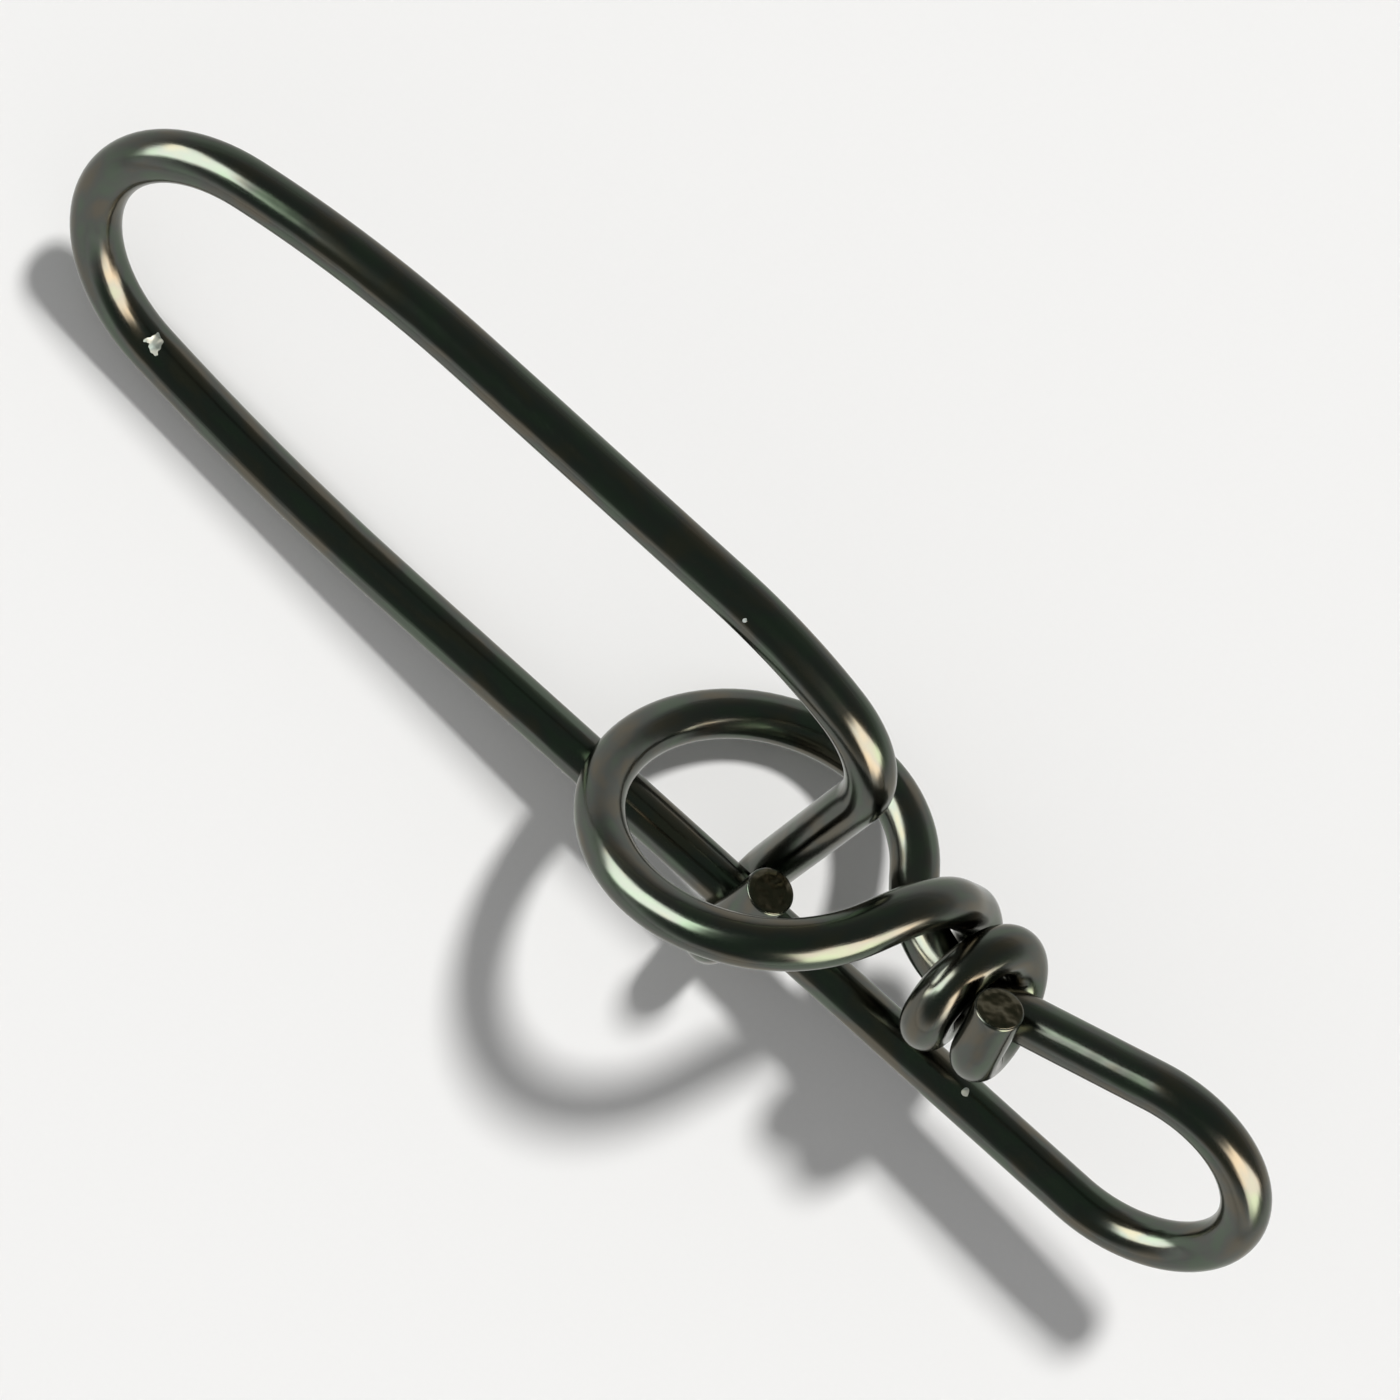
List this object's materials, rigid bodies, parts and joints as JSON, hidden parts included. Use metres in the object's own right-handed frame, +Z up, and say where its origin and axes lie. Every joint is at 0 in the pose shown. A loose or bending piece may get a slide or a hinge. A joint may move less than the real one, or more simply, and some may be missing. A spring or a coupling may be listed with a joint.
{
  "type": "pike snap",
  "caption": "One-piece spring-wire snap: a long bail whose hooked arm locks through a ring and round the shank, with a line eye wound shut.",
  "frame": {"origin": "centre of the box round the clip, on the surface that it lies on", "axes": "+Z up from that surface with the arm's side on top, +X along the shank from the bail to the line eye, +Y across from the shank to the arm"},
  "size_m": [0.0368, 0.0082, 0.0084],
  "materials": {
    "plated_wire": "black nickel plate over hard-drawn steel wire, glossy"
  },
  "bodies": {
    "root": {"snap_wire": "plated_wire"}
  },
  "joints": []
}
